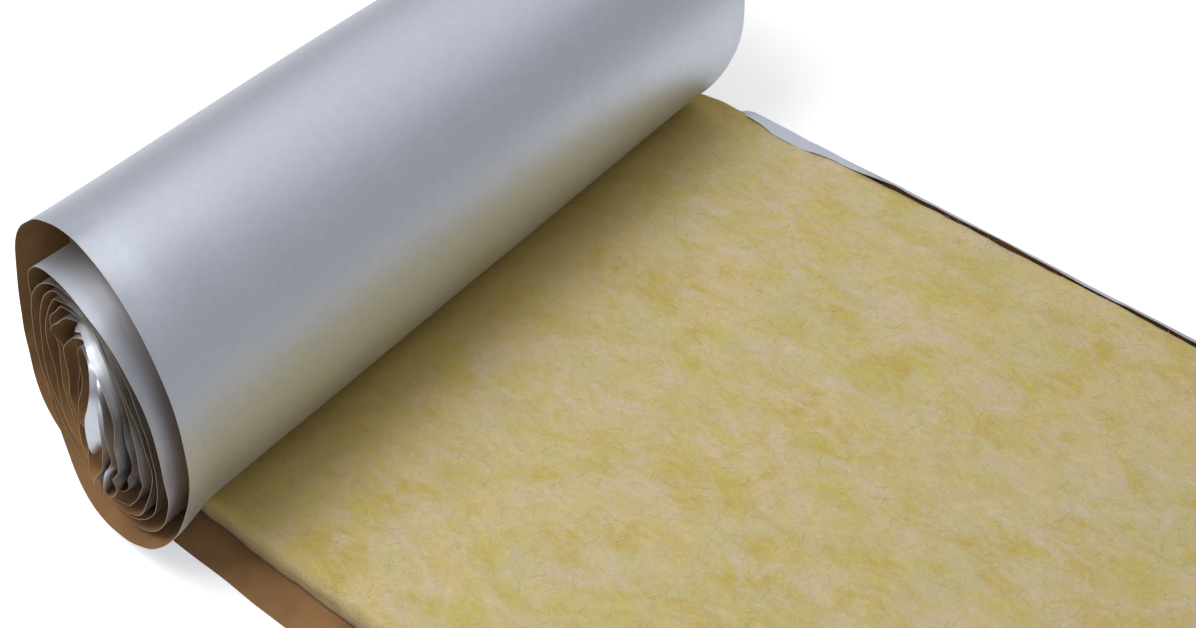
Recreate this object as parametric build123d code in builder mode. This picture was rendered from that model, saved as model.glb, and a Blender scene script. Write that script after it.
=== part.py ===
"""A roll of foil faced glass wool blanket, partly unrolled, lying on its side.

Millimetres, +Z up. The origin is on the floor, under the axis of the roll and half way along it.
X runs along the unrolled tail, Y along the roll from its near end to its far end.
The strip is a laminate facing, foil outside and kraft inside, with a glass wool blanket glued to
the kraft. Both are one length, flat in the tail and wound in the roll, where each turn presses
the wool of the turn outside it.
"""
import os
from math import atan2, degrees, pi, sqrt

from build123d import *

# The strip
wool_width = 1200.0
wool_thickness = 60.0
facing_thickness = 1.0
near_flange = 60.0
far_flange = 10.0
tail_length = 1560.0
glue_line = 0.3

# The tight turns, from the radius of the facing's outside where they start to the bore
tight_radius = 184.0
tight_pitch = 16.0
bore_radius = 32.0

# The loose turns round them, and how much wider than the tight turns each quarter of them is
loose_slack = [44.0, 42.0, 40.0, 30.0, 8.0, 14.0, 8.0]

# How far the inner turns have slipped out at the near end
core_slip = 45.0

# How the tail's wool swells out of the nip with the roll
nip_swell = 270.0

facing_width = near_flange + wool_width + far_flange
near_edge = -facing_width / 2
wool_floor = facing_thickness + glue_line
wool_top = wool_floor + wool_thickness

# The spiral is made of quarter arcs. Each starts where the last one ends, in the same direction,
# so its centre lies on the line through that joint.
quarters_in_turn = 4
quarter_step = tight_pitch / quarters_in_turn
tight_quarters = int((tight_radius - bore_radius) // quarter_step) + 1 - quarters_in_turn
spiral_quarters = len(loose_slack) + tight_quarters
loose_radii = [tight_radius + slack for slack in loose_slack]
tight_radii = [tight_radius - quarter_step * n for n in range(tight_quarters + quarters_in_turn + 1)]
radii = loose_radii + tight_radii
joint_directions = [(0, -1), (-1, 0), (0, 1), (1, 0)]
joint_angles = [-90, 180, 90, 0]
centres = [(0.0, radii[0])]
for number in range(1, len(radii)):
    shift = radii[number - 1] - radii[number]
    across, up = joint_directions[number % quarters_in_turn]
    centres.append((centres[-1][0] + across * shift, centres[-1][1] + up * shift))


def joint(number, grow):
    """Where a quarter turn starts, on the facing's outside moved outward by grow."""
    across, up = joint_directions[number % quarters_in_turn]
    reach = radii[number] + grow
    return (centres[number][0] + across * reach, centres[number][1] + up * reach)


def quarter_arc(number, grow):
    """A quarter turn, clockwise from its start, on the facing's outside moved outward by grow."""
    start = joint_angles[number % quarters_in_turn]
    return CenterArc(centres[number], radii[number] + grow, start, -90)


def layer_section(first, last, outward, inward, turns_in):
    """The outline of a layer in quarter turns first to last.

    Its outward side is the facing's outside moved by outward, and its inward side the facing's
    outside moved by inward, taken turns_in whole turns further in.
    """
    further = turns_in * quarters_in_turn
    for number in range(first, last):
        quarter_arc(number, outward)
        quarter_arc(number + further, inward)
    for number in (first, last):
        Line(joint(number, outward), joint(number + further, inward))


def across_roll(near):
    """The plane of a section that is extruded from near toward the far end."""
    return Plane.XZ.offset(-near)


core_near = near_edge - core_slip

# The facing: the tail, the outer turn and the turns inside it, one continuous sheet
with BuildPart() as foil_kraft_facing:
    with BuildSketch(across_roll(near_edge)):
        with Locations((tail_length / 2, facing_thickness / 2)):
            Rectangle(tail_length, facing_thickness)
        with BuildLine():
            layer_section(0, quarters_in_turn, 0, -facing_thickness, 0)
        make_face()
    extrude(amount=-facing_width)
    with BuildSketch(across_roll(core_near)):
        with BuildLine():
            layer_section(quarters_in_turn, spiral_quarters, 0, -facing_thickness, 0)
        make_face()
    extrude(amount=-facing_width)
foil_kraft_facing.part.label = "foil_kraft_facing"

# The wool's top from the tail to the roll: an arc against the roll, then one that swells to the flat
last_outer = quarters_in_turn - 1
rest_centre = centres[last_outer]
rest_radius = radii[last_outer] + glue_line
swell_depth = rest_centre[1] - (wool_top - nip_swell)
swell_run = sqrt((rest_radius + nip_swell) ** 2 - swell_depth**2)
swell_centre = (rest_centre[0] + swell_run, wool_top - nip_swell)
nip_angle = degrees(atan2(swell_run, swell_depth))
outside_wool = -facing_thickness - glue_line

# The wool: in the tail, in the outer turn and in the turns inside it, one continuous blanket
with BuildPart() as glass_wool_blanket:
    with BuildSketch(across_roll(near_edge + near_flange)):
        with BuildLine():
            Line((0, wool_floor), (tail_length, wool_floor))
            Line((tail_length, wool_floor), (tail_length, wool_top))
            Line((tail_length, wool_top), (swell_centre[0], wool_top))
            CenterArc(swell_centre, nip_swell, 90, nip_angle)
            CenterArc(rest_centre, rest_radius, -90, nip_angle)
            Line(joint(quarters_in_turn, glue_line), (0, wool_floor))
        make_face()
        with BuildLine():
            layer_section(0, quarters_in_turn, outside_wool, glue_line, 1)
        make_face()
    extrude(amount=-wool_width)
    with BuildSketch(across_roll(core_near + near_flange)):
        with BuildLine():
            layer_section(quarters_in_turn, spiral_quarters, outside_wool, glue_line, 1)
        make_face()
    extrude(amount=-wool_width)
glass_wool_blanket.part.label = "glass_wool_blanket"

os.makedirs("parts", exist_ok=True)
for piece in (foil_kraft_facing, glass_wool_blanket):
    export_step(piece.part, f"parts/{piece.part.label}.step")

wound_length = sum(radius * pi / 2 for radius in radii[:spiral_quarters])
print(f"strip length {(tail_length + wound_length) / 1000:.2f} m")
print(f"wool {glass_wool_blanket.part.volume / 1e9:.4f} m3")
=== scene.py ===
"""A partly unrolled roll of foil faced glass wool blanket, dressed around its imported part.

Metres, in the part's own frame: +X along the unrolled tail, +Y along the roll to its far end, +Z up.
The facing and the wool follow one winding, a spiral of quarter turns from the foot of the roll to
its middle, so both are worked out from the same few sizes.
"""

import math

import bmesh
import bpy
import numpy as np
from bpy.props import (
    FloatProperty,
    FloatVectorProperty,
    IntProperty,
    PointerProperty,
    StringProperty,
)
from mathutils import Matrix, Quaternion, Vector


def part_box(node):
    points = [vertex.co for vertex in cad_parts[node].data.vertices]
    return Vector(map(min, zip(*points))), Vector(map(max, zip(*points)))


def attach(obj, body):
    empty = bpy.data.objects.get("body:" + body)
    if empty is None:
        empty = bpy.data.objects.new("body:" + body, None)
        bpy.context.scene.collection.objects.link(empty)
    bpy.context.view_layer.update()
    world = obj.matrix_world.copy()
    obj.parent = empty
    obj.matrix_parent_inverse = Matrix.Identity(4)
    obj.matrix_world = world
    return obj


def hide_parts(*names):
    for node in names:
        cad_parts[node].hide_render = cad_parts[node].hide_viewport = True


bl_info = {
    "name": "Insulation Roll",
    "version": (1, 0, 0),
    "blender": (4, 5, 0),
    "location": "View3D > Sidebar > Insulation Roll",
    "description": "Builds the facing, the glass wool and the stage of a partly unrolled insulation roll",
    "category": "Add Mesh",
}

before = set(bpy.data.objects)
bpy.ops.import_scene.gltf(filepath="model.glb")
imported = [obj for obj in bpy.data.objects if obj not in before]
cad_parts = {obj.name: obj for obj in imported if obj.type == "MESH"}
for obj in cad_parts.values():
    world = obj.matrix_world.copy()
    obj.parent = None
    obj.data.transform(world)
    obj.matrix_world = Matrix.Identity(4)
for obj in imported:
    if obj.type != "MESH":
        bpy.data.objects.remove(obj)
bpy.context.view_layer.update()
FACING_LOW, FACING_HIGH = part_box("foil_kraft_facing")
WOOL_LOW, WOOL_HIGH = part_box("glass_wool_blanket")

BODY = "root"
FACING_NODE = "foil_kraft_facing"
WOOL_NODE = "glass_wool_blanket"
QUARTERS_IN_TURN = 4
JOINT_DIRECTIONS = ((0, -1), (-1, 0), (0, 1), (1, 0))
JOINT_ANGLES = (-90, 180, 90, 0)


class StripSizes(bpy.types.PropertyGroup):
    """The strip and how it is wound."""

    facing_thickness: FloatProperty(
        name="Facing thickness", description="Foil and kraft laminate, drawn thick enough to show its edge",
        default=0.0007, unit="LENGTH",
    )
    wool_clearance: FloatProperty(
        name="Wool clearance", description="From the facing's outside to the wool",
        default=0.0013, unit="LENGTH",
    )
    near_flange: FloatProperty(
        name="Near flange", description="Bare facing beyond the wool at the near edge",
        default=0.060, unit="LENGTH",
    )
    far_flange: FloatProperty(
        name="Far flange", description="Bare facing beyond the wool at the far edge",
        default=0.010, unit="LENGTH",
    )
    core_slip: FloatProperty(
        name="Core slip", description="How far the inner turns stand out at the near end",
        default=0.045, unit="LENGTH",
    )
    tight_radius: FloatProperty(
        name="Tight radius", description="Where the tight turns start",
        default=0.184, unit="LENGTH",
    )
    tight_pitch: FloatProperty(
        name="Tight pitch", description="From one tight turn to the next",
        default=0.016, unit="LENGTH",
    )
    bore_radius: FloatProperty(
        name="Bore radius", description="The open middle of the roll",
        default=0.032, unit="LENGTH",
    )
    loose_slack: FloatVectorProperty(
        name="Loose slack", description="How much wider each quarter of the loose turns is",
        size=7, default=(0.044, 0.042, 0.040, 0.030, 0.008, 0.014, 0.008), unit="LENGTH",
    )
    nip_swell: FloatProperty(
        name="Nip swell", description="Radius with which the wool swells out of the nip",
        default=0.270, unit="LENGTH",
    )
    core_crush: FloatProperty(
        name="Core crush", description="How far the crushed inner turns are pushed about",
        default=0.011, unit="LENGTH",
    )


class FacingLook(bpy.types.PropertyGroup):
    """Foil outside, kraft paper inside."""

    foil: StringProperty(name="Foil", description="Foil colour, sRGB hex", default="#C8CCD4")
    foil_dull: StringProperty(name="Dull foil", description="Where it is rubbed, sRGB hex", default="#BCC0C9")
    # The inner turns' darker foil: partly dust, partly painted shade of the turns deep in the roll's end
    foil_dust_and_shade: StringProperty(name="Dusty foil", description="Inner turns, sRGB hex", default="#7F7E7A")
    foil_roughness: FloatProperty(
        name="Foil roughness", description="Satin of the foil", default=0.47, subtype="FACTOR", min=0, max=1,
    )
    kraft: StringProperty(name="Kraft", description="Kraft paper colour, sRGB hex", default="#9C764D")
    kraft_dark: StringProperty(name="Dark kraft", description="Darker fibres of the paper", default="#7F5B37")
    cut_edge: StringProperty(name="Cut edge", description="Pale slit edge, sRGB hex", default="#B7A382")


class WoolLook(bpy.types.PropertyGroup):
    """Mottled yellow glass wool."""

    straw: StringProperty(name="Straw", description="Warm half of the wool, sRGB hex", default="#CFB983")
    sage: StringProperty(name="Sage", description="Cooler half of the wool, sRGB hex", default="#C4B985")
    amber: StringProperty(name="Amber", description="Where the binder is thick", default="#C3AA58")
    lemon: StringProperty(name="Lemon", description="Greener yellow patches", default="#C3B45E")
    blush: StringProperty(name="Blush", description="Pale pinkish patches", default="#CFBB9C")
    # Painted shade: deeper, darker yellow on the wool near the roll, standing in for the nip's shadow and the
    # light bounced there
    nip_shade: StringProperty(name="Deep", description="Pressed wool at the roll", default="#BC9F50")
    side: StringProperty(name="Side", description="Cut sides, browner toward the facing", default="#B39A6C")
    # Painted contact shadow: the dark brown line along the wool's foot where it meets the facing
    foot_shadow: StringProperty(name="Foot", description="Glue line at the facing, sRGB hex", default="#5E4526")
    strand: StringProperty(name="Strand", description="Loose strands, sRGB hex", default="#F1EACB")
    fibre_count: IntProperty(
        name="Fibres", description="Loose fibres for each square metre", default=2600, min=0,
    )
    fibre_length: FloatProperty(
        name="Fibre length", description="Of a loose fibre", default=0.030, unit="LENGTH",
    )
    fibre_radius: FloatProperty(
        name="Fibre radius", description="A strand of fibres, coarse enough to show",
        default=0.00017, unit="LENGTH",
    )
    seed: IntProperty(name="Seed", description="Of the scattered fibres", default=7)


class StageLook(bpy.types.PropertyGroup):
    """Floor, lamps and camera."""

    floor: StringProperty(name="Floor", description="Floor colour, sRGB hex", default="#E4E4E4")
    floor_glow: FloatProperty(
        name="Floor glow", description="White added to what the camera sees", default=0.42,
    )
    sky: FloatProperty(name="Sky", description="Strength of the even light from all round", default=0.50)
    sky_colour: StringProperty(name="Sky colour", description="sRGB hex", default="#F6F9FF")
    back_power: FloatProperty(name="Back softbox", description="Behind the roll", default=30, unit="POWER")
    top_power: FloatProperty(name="Top softbox", description="Over the near end", default=98, unit="POWER")
    camera_place: FloatVectorProperty(
        name="Camera", description="Where the camera stands", size=3,
        default=(1.4784, -1.3759, 2.024), subtype="TRANSLATION",
    )
    camera_yaw: FloatProperty(
        name="Yaw", description="Heading of the view from +X toward +Y",
        default=math.radians(127.93), subtype="ANGLE",
    )
    camera_pitch: FloatProperty(
        name="Pitch", description="How far the view looks down",
        default=math.radians(47.04), subtype="ANGLE",
    )
    camera_roll: FloatProperty(
        name="Roll", description="Turn of the camera about its view",
        default=math.radians(1.70), subtype="ANGLE",
    )
    camera_lens: FloatProperty(
        name="Lens", description="Focal length on a 36 mm sensor", default=50.7, unit="CAMERA",
    )


def linear(hex_colour):
    """An sRGB hex colour as linear RGBA."""
    values = [int(hex_colour[i : i + 2], 16) / 255 for i in (1, 3, 5)]
    return [v / 12.92 if v <= 0.04045 else ((v + 0.055) / 1.055) ** 2.4 for v in values] + [1.0]


def smooth_step(t):
    """From zero to one as t does, and level at both ends."""
    t = np.clip(t, 0.0, 1.0)
    return t * t * (3 - 2 * t)


def spots(x, y=0.0, z=0.0):
    """Points as rows, each coordinate an array or one number."""
    return np.stack(np.broadcast_arrays(x, y, z), 1)


class Lattice:
    """Smooth random values in space, the same each run."""

    def __init__(self, seed, side=32):
        self.side = side
        self.values = np.random.default_rng(seed).uniform(-1, 1, (side, side, side))

    def at(self, points, cell, shift=0.0):
        """Values from -1 to 1 at points moved by shift, with lumps about one cell wide.

        cell may be one size or three. Patterns that must not match have different shifts.
        """
        scaled = (np.asarray(points) + shift) / np.asarray(cell)
        low = np.floor(scaled).astype(int)
        share = smooth_step(scaled - low)
        total = np.zeros(len(scaled))
        for corner in range(8):
            step = np.array([(corner >> axis) & 1 for axis in range(3)])
            weight = np.prod(np.where(step, share, 1 - share), axis=1)
            cells = (low + step) % self.side
            total += weight * self.values[cells[:, 0], cells[:, 1], cells[:, 2]]
        return total

    def layered(self, points, layers):
        """Lumps of several sizes added up. Each layer is a cell, a height and a shift."""
        return sum(height * self.at(points, cell, shift) for cell, height, shift in layers)


# Random patterns for the crushed core, the waves of the facing and the fluff of the wool
CRUSH = Lattice(11)
WAVES = Lattice(23)
FLUFF = Lattice(37)

# Keeps a count of quarters whole, because a property holds its size as a short float
ROUNDING = 1e-3
# A place at the very end of the winding is taken this much before it, in quarters
BEFORE_END = 1e-6
# Stands in for zero where a value has to be more than that
TINY = 1e-6


class Winding:
    """The facing's outside in the XZ plane, by quarter turns from the foot of the roll inward."""

    def __init__(self, sizes):
        step = sizes.tight_pitch / QUARTERS_IN_TURN
        room = (sizes.tight_radius - sizes.bore_radius) / step + ROUNDING
        tight = int(room) + 1 - QUARTERS_IN_TURN
        self.quarters = len(sizes.loose_slack) + tight
        radii = [sizes.tight_radius + slack for slack in sizes.loose_slack]
        radii += [sizes.tight_radius - step * n for n in range(tight + QUARTERS_IN_TURN + 1)]
        centres = [(0.0, radii[0])]
        for number in range(1, len(radii)):
            change = radii[number - 1] - radii[number]
            across, up = JOINT_DIRECTIONS[number % QUARTERS_IN_TURN]
            centres.append((centres[-1][0] + across * change, centres[-1][1] + up * change))
        self.radii = np.array(radii)
        self.centres = np.array(centres)

    def points(self, turn, grow=0.0):
        """X, Z and outward direction at turn, counted in quarters, moved outward by grow."""
        number = np.clip(np.floor(turn).astype(int), 0, len(self.radii) - 1)
        angle = np.radians(np.array(JOINT_ANGLES)[number % QUARTERS_IN_TURN] - 90 * (turn - number))
        outward = np.stack([np.cos(angle), np.sin(angle)], 1)
        place = self.centres[number] + outward * (self.radii[number] + grow)[:, None]
        return place, outward


# All turns lean one way: their edges stand back at the left and the top, and out at the right and the foot
LEAN_ACROSS = 0.034
LEAN_UP = 0.0225
# How much further back the strip's edge is at each half quarter of the loose turns
SET_BACK = (
    0.0215, 0.011, 0.033, 0.036, 0.037, 0.033, 0.021, -0.013, -0.016, 0.003, 0.023, 0.005, -0.004, 0.0,
)
# How far the core stands out, from which quarter on, and after how many more in full
CORE_REACH = 0.014
CORE_START = 20
CORE_SPREAD = 8
# The far end can't stand out as much as the near end stands back, so the strip is crumpled narrower
FAR_EASE = 0.45

# The roll is this share wider than its solid at the near end, and as much narrower at the far end
TAPER = 0.03
# It is squeezed by this share on its left at the near end, fading out over a share of its width
LEFT_SQUEEZE = 0.045
SQUEEZE_STRETCH = 0.45
# The core's radius in the solid, and how far inside it the turns are pushed about in full
CORE_RADIUS = 0.165
CORE_DEPTH = 0.130
# How far the core is drawn upright, and how much more at the near end, over a share of the width
UPRIGHT = 0.012
NEAR_UPRIGHT = 0.036
UPRIGHT_STRETCH = 0.6
# Dents in the core: size, run of their pattern from end to end, share at the far end, growth inward
DENT_CELL = 0.055
DENT_RUN = 0.8
FAR_DENTS = 0.45
DENT_GROWTH = 1.2
# Finer crumples, as a share of the dents everywhere, and deeper near the near end
CRUMPLE_CELL = 0.031
CRUMPLE_SHARE = 0.3
CRUMPLE = 0.0085
CRUMPLE_GROWTH = 1.5
CRUMPLE_STRETCH = 0.14
CRUMPLE_SHIFT = 1.3
# Shifts that keep the dents across and the dents upward from matching
DENT_SHIFTS = (0.0, 3.7)


def curve_through(values, place):
    """A smooth curve through evenly spaced values."""
    values = np.asarray(values, dtype=float)
    low = np.clip(np.floor(place).astype(int), 0, len(values) - 1)
    t = np.clip(place - low, 0.0, 1.0)
    before, here, after, last = (values[np.clip(low + step, 0, len(values) - 1)] for step in (-1, 0, 1, 2))
    return 0.5 * (
        2 * here
        + (after - before) * t
        + (2 * before - 5 * here + 4 * after - last) * t**2
        + (3 * here - before - 3 * after + last) * t**3
    )


def edge_drift(turn, share):
    """Endways drift of the strip at turn, for a point at share of its width from the near edge."""
    phase = turn * math.pi / 2
    lean = LEAN_ACROSS * np.sin(phase) - LEAN_UP * np.cos(phase)
    back = curve_through(SET_BACK, turn * 2)
    core = CORE_REACH * smooth_step((turn - CORE_START) / CORE_SPREAD)
    drift = np.where(turn > 0, lean + back - core, 0.0)
    return np.where(drift > 0, drift * (1 - FAR_EASE * share), drift)


def settled(place, share, weight, sizes, winding):
    """Where the roll's section really lies: tapered, squeezed at the near end, and crumpled in its middle.

    weight is one on the roll and fades along the tail.
    """
    scale = 1 + TAPER * (1 - 2 * share) * weight
    place = place * scale[:, None]
    near = smooth_step(1 - share / SQUEEZE_STRETCH) * weight
    moved = place.copy()
    moved[:, 0] *= np.where(place[:, 0] < 0, 1 - LEFT_SQUEEZE * near, 1.0)
    away = place - winding.centres[-1]
    radius = np.maximum(np.hypot(away[:, 0], away[:, 1]), TINY)
    inward = np.clip((CORE_RADIUS - radius) / CORE_DEPTH, 0.0, 1.0) * weight
    upright = NEAR_UPRIGHT * smooth_step(1 - share / UPRIGHT_STRETCH) + UPRIGHT
    moved[:, 1] += upright * inward * away[:, 1] / radius
    dents = sizes.core_crush * smooth_step(inward * DENT_GROWTH) * (FAR_DENTS + (1 - FAR_DENTS) * near)
    crumple = CRUMPLE * smooth_step(inward * CRUMPLE_GROWTH) * smooth_step(1 - share / CRUMPLE_STRETCH)
    spot = spots(place[:, 0], share * DENT_RUN, place[:, 1])
    for axis, shift in enumerate(DENT_SHIFTS):
        fine = CRUSH.at(spot, CRUMPLE_CELL, shift + CRUMPLE_SHIFT)
        moved[:, axis] += dents * CRUSH.at(spot, DENT_CELL, shift)
        moved[:, axis] += (CRUMPLE_SHARE * dents + crumple) * fine
    return moved


def grid_mesh(name, blocks, materials):
    """One mesh from blocks of points, rows by columns, each with its own strip coordinates."""
    verts, faces, uvs = [], [], []
    for points, strip in blocks:
        rows, columns = points.shape[:2]
        start = sum(len(v) for v in verts)
        verts.append(points.reshape(-1, 3))
        uvs.append(strip.reshape(-1, 2))
        index = start + np.arange(rows * columns).reshape(rows, columns)
        quads = np.stack([index[:-1, :-1], index[1:, :-1], index[1:, 1:], index[:-1, 1:]], -1)
        faces.append(quads.reshape(-1, 4))
    return make_mesh(name, np.concatenate(verts), np.concatenate(faces), np.concatenate(uvs), materials)


def make_mesh(name, verts, quads, uvs, materials):
    """A mesh object at the origin from arrays, with a UV map named strip in metres."""
    mesh = bpy.data.meshes.new(name)
    mesh.vertices.add(len(verts))
    mesh.vertices.foreach_set("co", verts.astype(np.float32).ravel())
    mesh.loops.add(quads.size)
    mesh.loops.foreach_set("vertex_index", quads.astype(np.int32).ravel())
    mesh.polygons.add(len(quads))
    mesh.polygons.foreach_set("loop_start", np.arange(0, quads.size, 4, dtype=np.int32))
    layer = mesh.uv_layers.new(name="strip")
    layer.data.foreach_set("uv", uvs[quads.ravel()].astype(np.float32).ravel())
    for material in materials:
        mesh.materials.append(material)
    mesh.update()
    mesh.validate()
    mesh.polygons.foreach_set("use_smooth", np.ones(len(mesh.polygons), dtype=bool))
    thing = bpy.data.objects.new(name, mesh)
    bpy.context.collection.objects.link(thing)
    return thing


# Points of one sheet that lie nearer than this are one point
WELD_DISTANCE = 2e-5


def weld(thing):
    """Joins the points that blocks of one sheet share."""
    work = bmesh.new()
    work.from_mesh(thing.data)
    bmesh.ops.remove_doubles(work, verts=work.verts, dist=WELD_DISTANCE)
    work.to_mesh(thing.data)
    work.free()


def apply_modifiers(thing):
    """Makes the object's modifiers part of its mesh."""
    graph = bpy.context.evaluated_depsgraph_get()
    mesh = bpy.data.meshes.new_from_object(thing.evaluated_get(graph))
    thing.modifiers.clear()
    thing.data = mesh


def keep_above_floor(thing):
    """Lifts what hangs below the floor onto it."""
    for vertex in thing.data.vertices:
        vertex.co.z = max(vertex.co.z, 0.0)


def spread(start, stop, fine, coarse, edge):
    """Places from start to stop, fine within edge of both ends and coarse between."""
    rim = np.arange(0, edge, fine)
    middle = np.linspace(start + edge, stop - edge, max(2, int((stop - start - 2 * edge) / coarse) + 1))
    return np.concatenate([start + rim, middle, (stop - rim)[::-1]])


def add_node(tree, kind, inputs=None, **settings):
    """Adds a node with its settings. Each input gets a value, a hex colour or another node's socket."""
    node = tree.nodes.new(kind)
    for key, value in settings.items():
        setattr(node, key, value)
    for key, given in (inputs or {}).items():
        if isinstance(given, bpy.types.NodeSocket):
            tree.links.new(given, node.inputs[key])
        else:
            node.inputs[key].default_value = linear(given) if isinstance(given, str) else given
    return node


def new_material(name):
    """A material and its empty node tree."""
    material = bpy.data.materials.new(name)
    material.use_nodes = True
    material.node_tree.nodes.clear()
    return material, material.node_tree


def per_metre(size_mm):
    """A pattern's scale, for lumps of a size in millimetres."""
    return 1000 / size_mm


# A colour mix node's factor, its two colours and its result
MIX_FACTOR, MIX_FIRST, MIX_SECOND, MIX_RESULT = 0, 6, 7, 2
# Run of the strip from the tail's end where the dust and painted shade on the foil start, are full, fade and
# are gone
DUST_SHADE_START, DUST_SHADE_FULL, DUST_SHADE_FADE, DUST_SHADE_GONE = 3.9, 4.4, 8.0, 8.8
# How much smoother and rougher than its mean the foil is, and how high its creases are to its cockles
FOIL_SMOOTHER, FOIL_ROUGHER = 0.05, 0.06
CREASE_RELIEF = 3.0
# How much the fibres of the kraft show beside its clouds
KRAFT_FIBRES = 0.6


def cut_edge_material(look):
    """Where the laminate is slit: torn paper, pale and matt.

    Real torn paper has a grain far below a millimetre. It is drawn at 4 mm, coarse enough to show.
    """
    material, tree = new_material("slit_laminate_edge")
    strip = add_node(tree, "ShaderNodeUVMap", uv_map="strip").outputs["UV"]
    grain = add_node(tree, "ShaderNodeTexNoise", {"Vector": strip, "Scale": per_metre(4), "Detail": 2.0})
    colour = add_node(
        tree, "ShaderNodeMix",
        {MIX_FACTOR: grain.outputs["Fac"], MIX_FIRST: look.cut_edge, MIX_SECOND: look.kraft},
        data_type="RGBA",
    )
    shader = add_node(
        tree, "ShaderNodeBsdfPrincipled", {"Base Color": colour.outputs[MIX_RESULT], "Roughness": 0.7}
    )
    add_node(tree, "ShaderNodeOutputMaterial", {"Surface": shader.outputs[0]})
    return material


def foil_material(look):
    """Aluminium foil rolled thin and laminated to paper: satin, with cockles and soft creases.

    A cockle is 14 mm wide, and a crease 350 mm by 70 mm. The foil is darkened in patches between the
    loose turns and the core: partly dust, partly painted shade of these turns, which lie deep in the roll's
    end.
    """
    material, tree = new_material("laminated_aluminium_foil")
    strip = add_node(tree, "ShaderNodeUVMap", uv_map="strip").outputs["UV"]
    cockles = add_node(
        tree, "ShaderNodeTexNoise",
        {"Vector": strip, "Scale": per_metre(14), "Detail": 3.0, "Roughness": 0.55},
    ).outputs["Fac"]
    crease_map = add_node(
        tree, "ShaderNodeMapping", {"Vector": strip, "Scale": (per_metre(350), per_metre(70), 1.0)}
    )
    creases = add_node(
        tree, "ShaderNodeTexNoise",
        {"Vector": crease_map.outputs[0], "Scale": 1.0, "Detail": 5.0, "Roughness": 0.6, "Distortion": 0.6},
    ).outputs["Fac"]
    relief = add_node(
        tree, "ShaderNodeMath", {0: creases, 1: CREASE_RELIEF, 2: cockles}, operation="MULTIPLY_ADD"
    )
    bump = add_node(
        tree, "ShaderNodeBump", {"Height": relief.outputs[0], "Strength": 0.22, "Distance": 0.0007}
    )
    rough = add_node(
        tree, "ShaderNodeMapRange",
        {"Value": creases, "To Min": look.foil_roughness - FOIL_SMOOTHER,
         "To Max": look.foil_roughness + FOIL_ROUGHER},
    )
    clean = add_node(
        tree, "ShaderNodeMix", {MIX_FACTOR: cockles, MIX_FIRST: look.foil, MIX_SECOND: look.foil_dull},
        data_type="RGBA",
    )
    run = add_node(tree, "ShaderNodeSeparateXYZ", {0: strip}).outputs["X"]
    # Dust and painted shade on the inner turns' foil, in patches that spare the high creases
    dust_and_shade = add_node(
        tree, "ShaderNodeMapRange", {"Value": creases, "From Min": 0.66, "From Max": 0.5}
    ).outputs[0]
    for none, full in ((DUST_SHADE_START, DUST_SHADE_FULL), (DUST_SHADE_GONE, DUST_SHADE_FADE)):
        there = add_node(tree, "ShaderNodeMapRange", {"Value": run, "From Min": none, "From Max": full})
        dust_and_shade = add_node(
            tree, "ShaderNodeMath", {0: dust_and_shade, 1: there.outputs[0]}, operation="MULTIPLY"
        ).outputs[0]
    colour = add_node(
        tree, "ShaderNodeMix",
        {MIX_FACTOR: dust_and_shade, MIX_FIRST: clean.outputs[MIX_RESULT], MIX_SECOND: look.foil_dust_and_shade},
        data_type="RGBA",
    )
    shader = add_node(
        tree, "ShaderNodeBsdfPrincipled",
        {"Base Color": colour.outputs[MIX_RESULT], "Metallic": 1.0, "Roughness": rough.outputs[0],
         "Normal": bump.outputs[0]},
    )
    add_node(tree, "ShaderNodeOutputMaterial", {"Surface": shader.outputs[0]})
    return material


def kraft_material(look):
    """Unbleached kraft paper off the machine: matt brown with fibres along the strip, in 90 mm clouds.

    Its fibres are about 3 mm long and hair thin. They are drawn as bundles of 12 mm by 2.2 mm, which show.
    """
    material, tree = new_material("unbleached_kraft_paper")
    strip = add_node(tree, "ShaderNodeUVMap", uv_map="strip").outputs["UV"]
    fibre_map = add_node(
        tree, "ShaderNodeMapping", {"Vector": strip, "Scale": (per_metre(12), per_metre(2.2), 1.0)}
    )
    fibres = add_node(
        tree, "ShaderNodeTexNoise",
        {"Vector": fibre_map.outputs[0], "Scale": 1.0, "Detail": 4.0, "Roughness": 0.65},
    ).outputs["Fac"]
    cloud = add_node(
        tree, "ShaderNodeTexNoise", {"Vector": strip, "Scale": per_metre(90), "Detail": 2.0}
    ).outputs["Fac"]
    tone = add_node(tree, "ShaderNodeMath", {0: fibres, 1: KRAFT_FIBRES, 2: cloud}, operation="MULTIPLY_ADD")
    share = add_node(
        tree, "ShaderNodeMapRange", {"Value": tone.outputs[0], "From Min": 0.55, "From Max": 1.05}
    )
    colour = add_node(
        tree, "ShaderNodeMix",
        {MIX_FACTOR: share.outputs[0], MIX_FIRST: look.kraft, MIX_SECOND: look.kraft_dark},
        data_type="RGBA",
    )
    bump = add_node(tree, "ShaderNodeBump", {"Height": fibres, "Strength": 0.3, "Distance": 0.0006})
    shader = add_node(
        tree, "ShaderNodeBsdfPrincipled",
        {"Base Color": colour.outputs[MIX_RESULT], "Roughness": 0.82, "Specular IOR Level": 0.35,
         "Normal": bump.outputs[0]},
    )
    add_node(tree, "ShaderNodeOutputMaterial", {"Surface": shader.outputs[0]})
    return material


# The fibres lie at this angle across the blanket, and the mottling is drawn out along it
LAY_ANGLE = math.radians(-32)
LAY_SCALE = (0.62, 1.0, 1.4)
# Each cloud of the wool: its size in millimetres, detail, distortion and shift
WOOL_CLOUDS = {
    "broad": (135, 4.0, 0.7, 12.3),
    "amber": (66, 5.0, 0.6, 0.0),
    "lemon": (52, 5.0, 0.5, 3.1),
    "blush": (60, 5.0, 0.8, 7.7),
    "streaks": (14, 5.0, 1.4, 1.9),
    "strands": (4.5, 3.0, 1.0, 5.3),
}
# How far up a cloud is shifted for each step along, and how much streaks and strands show
CLOUD_SLANT = 0.7
STREAK_SHADE = 0.55
STRAND_RELIEF = 0.45


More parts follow.
